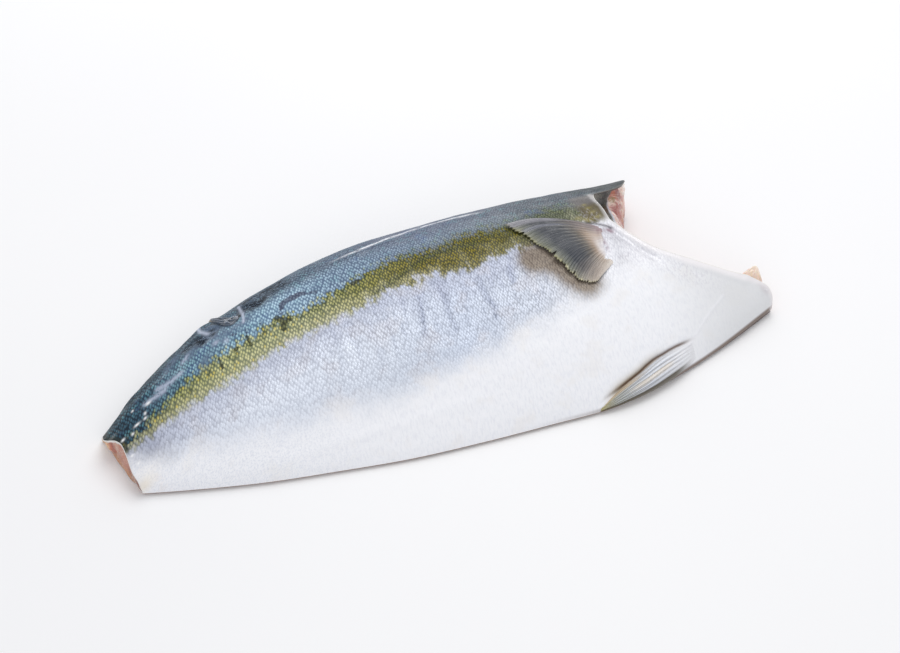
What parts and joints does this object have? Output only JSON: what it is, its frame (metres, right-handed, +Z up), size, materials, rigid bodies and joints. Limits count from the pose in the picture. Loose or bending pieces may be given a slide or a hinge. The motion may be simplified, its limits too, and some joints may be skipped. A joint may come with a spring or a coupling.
{
  "type": "yellowtail fillet",
  "caption": "Raw skin-on side of a yellowtail with collar, pectoral fin and pelvic fin, head and tail cut off, lying on its flesh with the skin up.",
  "frame": {"origin": "on the surface that the fillet rests on, under the middle of its bounding box", "axes": "+X along the fish towards the head end, +Y across towards the back edge, +Z up, out of the skin"},
  "size_m": [0.4614, 0.185, 0.0538],
  "materials": {
    "skin": "wet scaled skin, slate blue back, olive yellow stripe, silver flank and white belly",
    "flesh": "moist raw flesh, pink with red patches and cream fat",
    "fins": "wet fin rays and membrane, slate grey with an olive yellow margin"
  },
  "bodies": {
    "root": {"fillet": "skin"}
  },
  "joints": []
}
